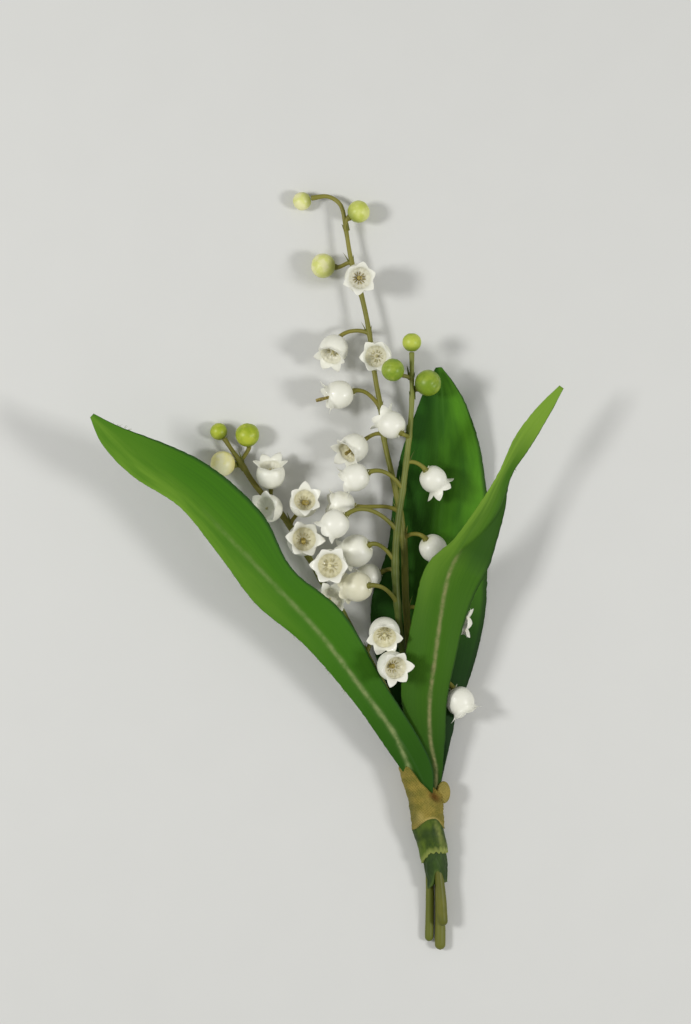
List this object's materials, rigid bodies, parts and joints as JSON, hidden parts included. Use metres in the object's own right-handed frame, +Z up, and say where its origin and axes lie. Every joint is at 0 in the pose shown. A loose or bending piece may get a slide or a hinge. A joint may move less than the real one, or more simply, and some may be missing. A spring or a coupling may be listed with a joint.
{
  "type": "lily of the valley bunch",
  "caption": "Artificial lily of the valley bunch lying on its side: flower sprays with bells and buds, broad leaves, base bound by a woven sheath and tape.",
  "frame": {"origin": "on the surface the bunch lies on, in the middle of the small flat under the green tape", "axes": "+Z up from the surface, +Y along the bunch from the bound base to the flower tips, +X to the right of +Y as seen from above"},
  "size_m": [0.1281, 0.2117, 0.0273],
  "materials": {
    "bell": "satin white moulded plastic",
    "bud": "glossy yellow-green moulded plastic",
    "stem": "satin olive moulded plastic",
    "leaf": "printed satin fabric",
    "back_leaf": "printed satin fabric, darker",
    "sheath": "brown woven cloth",
    "green_tape": "waxed florist's tape",
    "dark_tape": "waxed florist's tape, darker"
  },
  "bodies": {
    "root": {"left_leaf": "leaf", "right_leaf": "leaf", "back_leaf": "back_leaf", "tall_stem": "stem", "middle_stem": "stem", "left_stem": "stem", "tall_bell_1": "bell", "tall_bell_2": "bell", "tall_bell_3": "bell", "tall_bell_4": "bell", "tall_bell_5": "bell", "tall_bell_6": "bell", "tall_bell_7": "bell", "tall_bell_8": "bell", "tall_bell_9": "bell", "middle_bell_1": "bell", "middle_bell_2": "bell", "middle_bell_3": "bell", "middle_bell_4": "bell", "middle_bell_5": "bell", "middle_bell_6": "bell", "middle_bell_7": "bell", "left_bell_1": "bell", "left_bell_2": "bell", "left_bell_3": "bell", "left_bell_4": "bell", "left_bell_5": "bell", "left_bell_6": "bell", "left_bell_7": "bell", "left_bell_8": "bell", "tall_bud_1": "bud", "tall_bud_2": "bud", "tall_bud_3": "bud", "middle_bud_1": "bud", "middle_bud_2": "bud", "middle_bud_3": "bud", "left_bud_1": "bud", "left_bud_2": "bud", "left_bud_3": "bud", "sheath": "sheath", "green_tape": "green_tape", "dark_tape": "dark_tape"}
  },
  "joints": []
}
